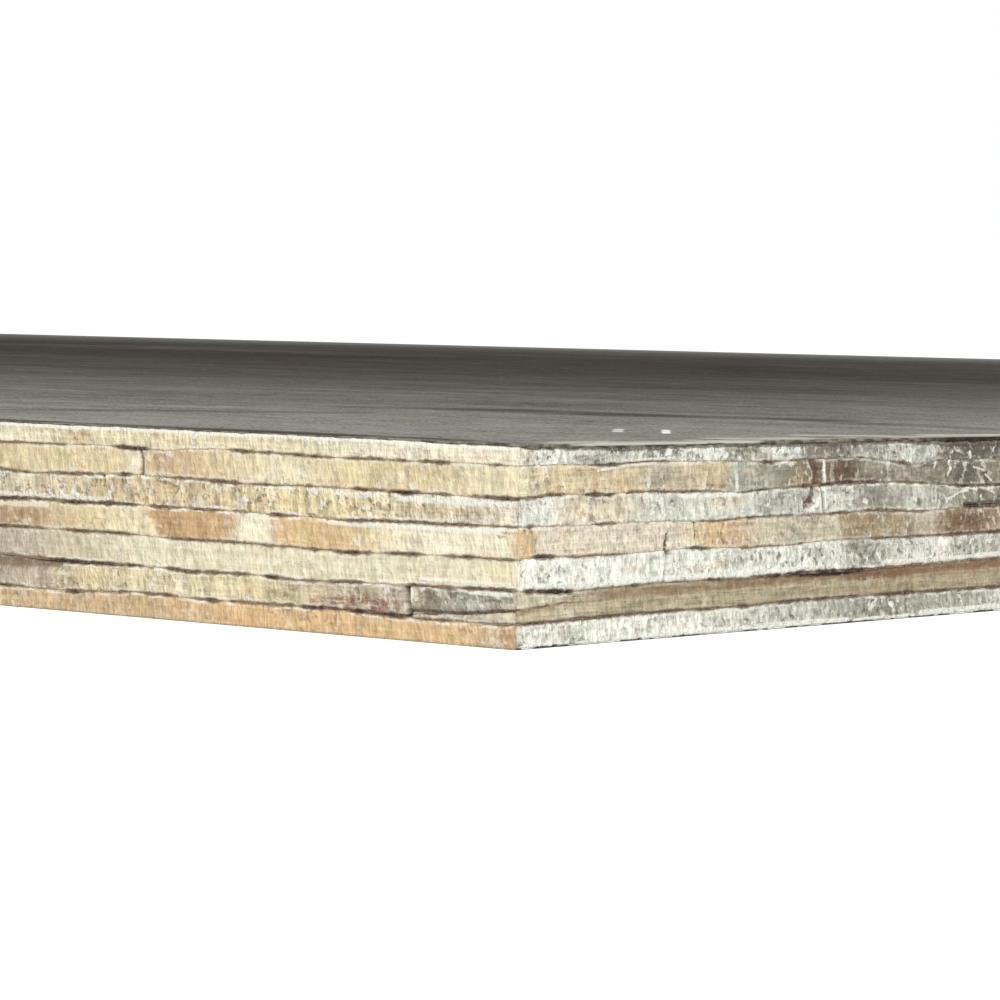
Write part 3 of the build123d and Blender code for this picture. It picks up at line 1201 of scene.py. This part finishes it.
    # Under the upper film the dark band is partly stain and partly painted shadow
    above = FILM_SHADE_AND_SOAK if name == "face_ply_1" else GLUE_SOAK
    for away, dark, soak in ((from_foot, dark_below, GLUE_SOAK), (from_top, dark_above, above)):
        reach, depths, darkness, soaked = soak
        depth = away + ragged * 0.45 - dark * reach
        paint.lay(soaked, paint.span(depth, *depths) * paint.span(dark, *darkness) * 0.8)
    if name == LAPPED_PLY:
        line = paint.span(abs(lap + ragged * 0.3), 0.13, 0.04)
        line_break = paint.span(paint.pattern(along, 0.0, (3.0, 1.0), 5.0), 0.36, 0.56, 0.2, 1.0)
        paint.lay("soaked_wood", line * line_break * paint.span(along, 4.0, 14.0, 0.9, 0.12))
    paint.lay("dark_brown", gap * 0.9)

    height = sum(parts) + pits * -0.8 + fibres * 0.6
    return paint.finish(paint.span(patterns[1], 0.3, 0.7, 0.75, 0.92), height, 0.22, 0.2)


RESIN_TONES = [(0.2, "brown_tan"), (0.55, "brown"), (0.8, "soaked_wood"), (1.0, "resin")]


def make_resin():
    """Cured glue: near black where it is thick, and brown where it has soaked into the wood."""
    paint = new_paint("cured_resin")
    along, v, end = paint.edge()
    dark = paint.attribute("marks")[0]
    z = paint.place()[2]
    grain = paint.pattern(along, z, (0.45, 0.8), 0.0, 3.0, 0.6)
    level = (grain - 0.5) * 1.2 + dark
    paint.colour = paint.mix(end, "faint_resin", "pale_resin")
    paint.lay(paint.ramp(level, RESIN_TONES), paint.span(level, 0.06, 0.34))
    return paint.finish(paint.span(grain, 0.3, 0.7, 0.45, 0.8), grain, 0.08, 0.3)


# How far in from the edges the film is pale, and how strongly. This is partly rubbed wear and partly
# painted shade, as the sheet is painted darker further from its edges
SHADE_AND_RUB_REACH = 165.0
SHADE_AND_RUB_SHARE = 0.84
# Marks on the upper film: tone, strength, half the width, and from and to, each as its distances from
# the near end and from the near side. The long dark ones are where something lay, and the pale ones
# along the end are where the film is scuffed.
FILM_STROKES = read_rows("""
film_edge 0.4 9  98 96  86 105
film_edge 0.5 12  86 105  67 105
film_edge 0.45 11  67 105  48 114
film_edge 0.4 6  50 115  32 104
film_edge 0.35 7  95 34  92 48
film_edge 0.35 6  88 52  81 68
film_haze 0.3 6  112 58  101 82
film_haze 0.3 4  39 34  38 52
film_edge 0.65 4.2  39 1.5  22 2
film_edge 0.5 3.6  70 1.5  61 2
film_edge 0.6 2  15 3.5  8 2.5
film_edge 0.35 5  34 112  14 102
cool_white 0.95 0.75  28 51.3  21.5 42.6
bright_white 1 0.6  24.8 55  16.5 44
pale_grey 0.9 1.1  0.6 8  0.8 34
pale_grey 0.9 1.7  5 35  3.4 48
pale_grey 0.85 2.2  8.5 56  4.6 65
pale_grey 0.95 2.4  4.6 73  3 86
""")
# Where the upper film's arris is rubbed pale on the end: from and to, and down to this depth
WORN_ARRIS = (6.0, 39.0)
ARRIS_RUB = 0.26
# Patterns in the film's haze, which are clouds, broad patches, streaks, grain, mottle and speckle:
# sizes, what is added to the seed, detail, roughness and strength
FILM_PATTERNS = (
    ((260.0, 190.0), 0, 6.0, 0.6, 0.12),
    ((90.0, 50.0), 4, 4.0, 0.5, 0.10),
    ((24.0, 14.0), 6, 2.0, 0.5, 0.14),
    ((220.0, 5.0), 8, 2.0, 0.5, 0.03),
    ((3.0, 3.0), 10, 3.0, 0.7, 0.24),
    ((0.45, 0.45), 11, 1.0, 0.55, 0.45),
)
# Fine scratches: the slope of their run, their sizes and strength
SCRATCHES = ((0.35, (160.0, 1.3), 0.4), (-1.3, (90.0, 0.9), 0.35), (0.08, (300.0, 1.1), 0.4))
# How far the edge of each film is worn to grey-brown, at least and at most
CHIPPED = {"top_film": (0.25, 0.85), "bottom_film": (0.0, 0.2)}


def make_film(name, seed, haze_level):
    """Phenolic film: dark brown, rubbed pale along the edges, with painted shade darkening it further in,
    streaked with its grain and hazed with cement and scratches."""
    paint = new_paint(name + "_finish")
    along, v, end = paint.edge()
    worn_through = paint.attribute("marks")[0]
    x, y, z = paint.place()
    from_end = HALF_X - abs(x)
    from_side = HALF_Y - abs(y)

    parts, uneven, spread = [], 1.0, 0.05
    for sizes, step, detail, roughness, amount in FILM_PATTERNS:
        part = paint.signed(paint.pattern(x, y, sizes, seed + step, detail, roughness))
        parts.append(part)
        uneven = uneven + part * amount
        spread = spread + part * (amount * 0.16)
    clouds, broad, streaks, grain, mottle, speckle = parts
    # Pale near the edges and darker further in: partly rubbed wear, partly painted shade across the sheet
    rub_and_shade = paint.math("POWER", math.e, (from_end * 1.5).least(from_side) / -SHADE_AND_RUB_REACH)
    haze = rub_and_shade * SHADE_AND_RUB_SHARE * uneven + (spread + haze_level)
    paint.colour = paint.mix(haze, "film", "film_haze")
    if name == "top_film":
        wander = streaks * 0.5
        point = paint.combine(HALF_X - x + wander, y + HALF_Y + wander)
        paint.lay_strokes(FILM_STROKES, point, paint.span(mottle, -0.9, 0.3, 0.45, 1.0))

    # Cement smears, drops and scratches
    smear_place = paint.pattern(x, y, (420.0, 240.0), seed + 20, 3.0, 0.6)
    smear_body = paint.pattern(x, y, (34.0, 22.0), seed + 21, 6.0, 0.75)
    smears = paint.span(smear_place, 0.54, 0.70) * paint.span(smear_body, 0.38, 0.74)
    paint.lay("cement", smears * 0.26)
    drops = paint.span(paint.pattern(x, y, (2.6, 2.6), seed + 12, 1.0), 0.75, 0.79) * 0.7
    paint.lay("cement", drops)
    for slope, sizes, amount in SCRATCHES:
        scratch = paint.pattern(y * -slope + x, x * slope + y, sizes, seed + 14 + slope, 1.0)
        scratch = paint.span(scratch, 0.70, 0.76) * paint.span(clouds, -0.6, 0.6)
        paint.lay("cement", scratch * amount)

    # Dark rim, and paler wear inside it on the ends
    worn_end = paint.span(from_side - from_end, 0.0, 6.0)
    near_rim = from_end.least(from_side) + streaks * 1.2
    rim_break = paint.span(paint.pattern(x, y, (30.0, 12.0), seed + 16), 0.35, 0.6, 0.25, 0.75)
    paint.lay("film_rim", paint.span(near_rim, 6.0, 2.0) * rim_break * (worn_end * -0.55 + 1.0))
    pale = paint.span(near_rim, 0.2, 1.2) * paint.span(near_rim, 5.0, 2.5)
    pale_break = paint.span(paint.pattern(x, y, (9.0, 9.0), seed + 18, 3.0, 0.6), 0.42, 0.58)
    paint.lay("pale_grey", pale * pale_break * worn_end * 0.6)

    # The edge of the film, with bare wood where it is worn through
    chipped = paint.pattern(along, z, (1.6, 0.5), seed + 22, 2.0)
    chipped = paint.span(chipped, 0.38, 0.6, *CHIPPED[name])
    fresh = paint.mix(chipped * paint.span(along, 70.0, 60.0, 0.15, 1.0), "film_edge", "grey_brown")
    if name == "top_film":
        low, high = WORN_ARRIS
        window = paint.span(along, low, low + 4.0) * paint.span(along, high, high - 4.0)
        scuffed = paint.span(z + (ARRIS_RUB - THICKNESS), -0.04, 0.04)
        fresh = paint.mix(scuffed * window * 0.9, fresh, "pale_grey")
    from_middle = abs(z - THICKNESS / 2)
    edge_face = paint.span(from_middle, THICKNESS / 2 - 0.02, THICKNESS / 2 - 0.06)
    paint.lay(paint.mix(worn_through, fresh, paint.mix(end, "straw", "bright_white")), edge_face)
    height = grain * 0.5 + mottle * 0.5 + drops
    return paint.finish(paint.span(haze, 0.0, 1.0, 0.45, 0.85), height, 0.05, 0.0)


# Floor, light and background

FLOOR_DROP = 0.00003
FLOOR_SIZE = 30.0
FLOOR_WHITE = 0.86
FLOOR_LIFT = 0.4
WORLD_STRENGTH = 0.72


def show(paint, shader, shown, output):
    """Lights the scene with one shader, and shows another directly, in mirrors and through glass."""
    camera, glossy, transmission = (
        paint.node("LightPath", output=f"Is {ray} Ray")
        for ray in ("Camera", "Glossy", "Transmission")
    )
    seen = camera.most(glossy).most(transmission)
    mixed = paint.node("MixShader", {0: seen, 1: shader, 2: shown}, 0)
    paint.node(output, {"Surface": mixed})


def make_floor():
    mesh = bpy.data.meshes.new("floor")
    half = FLOOR_SIZE / 2
    corners = [(-half, -half, 0), (half, -half, 0), (half, half, 0), (-half, half, 0)]
    mesh.from_pydata(corners, [], [(0, 1, 2, 3)])
    floor = add_object("floor", mesh)
    floor.location.z = -FLOOR_DROP
    paint = new_paint("floor_white")
    diffuse = paint.node("BsdfDiffuse", {"Color": (FLOOR_WHITE, FLOOR_WHITE, FLOOR_WHITE, 1)}, 0)
    lift = paint.node("Emission", {"Strength": FLOOR_LIFT}, 0)
    show(paint, diffuse, paint.node("AddShader", {0: diffuse, 1: lift}, 0), "OutputMaterial")
    floor.data.materials.append(paint.owner)


def make_world():
    world = bpy.data.worlds.new("studio")
    bpy.context.scene.world = world
    paint = Paint(world)
    light, white = (
        paint.node("Background", {"Color": (1, 1, 1, 1), "Strength": strength}, 0)
        for strength in (WORLD_STRENGTH, 1.0)
    )
    show(paint, light, white, "OutputWorld")


def make_lamp(name, place, target, size, power):
    data = bpy.data.lights.new(name, "AREA")
    data.shape = "SQUARE"
    data.size = size
    data.energy = power
    lamp = add_object(name, data)
    lamp.location = place
    lamp.rotation_euler = (Vector(target) - Vector(place)).to_track_quat("-Z", "Y").to_euler()


make_camera()
for ply_name in PLIES:
    make_ply(ply_name).data.materials.append(make_veneer(ply_name))
resin = make_resin()
for glue_number in GLUE:
    make_glue_line(glue_number).data.materials.append(resin)
top_film = make_film_layer("top_film", TOP_FILM_SHOWN, 820, FILM_CHIPS, 0)
top_film.data.materials.append(make_film("top_film", 1.0, 0.02))
bottom_film = make_film_layer("bottom_film", BOTTOM_FILM_SHOWN, 840, [], bottom_film_wear())
bottom_film.data.materials.append(make_film("bottom_film", 31.0, -0.05))
make_floor()
make_world()
make_lamp("key", (3.5, -2.8, 3.0), (0.9, -0.4, 0), 2.5, 110)
bpy.context.scene.view_settings.view_transform = "Standard"
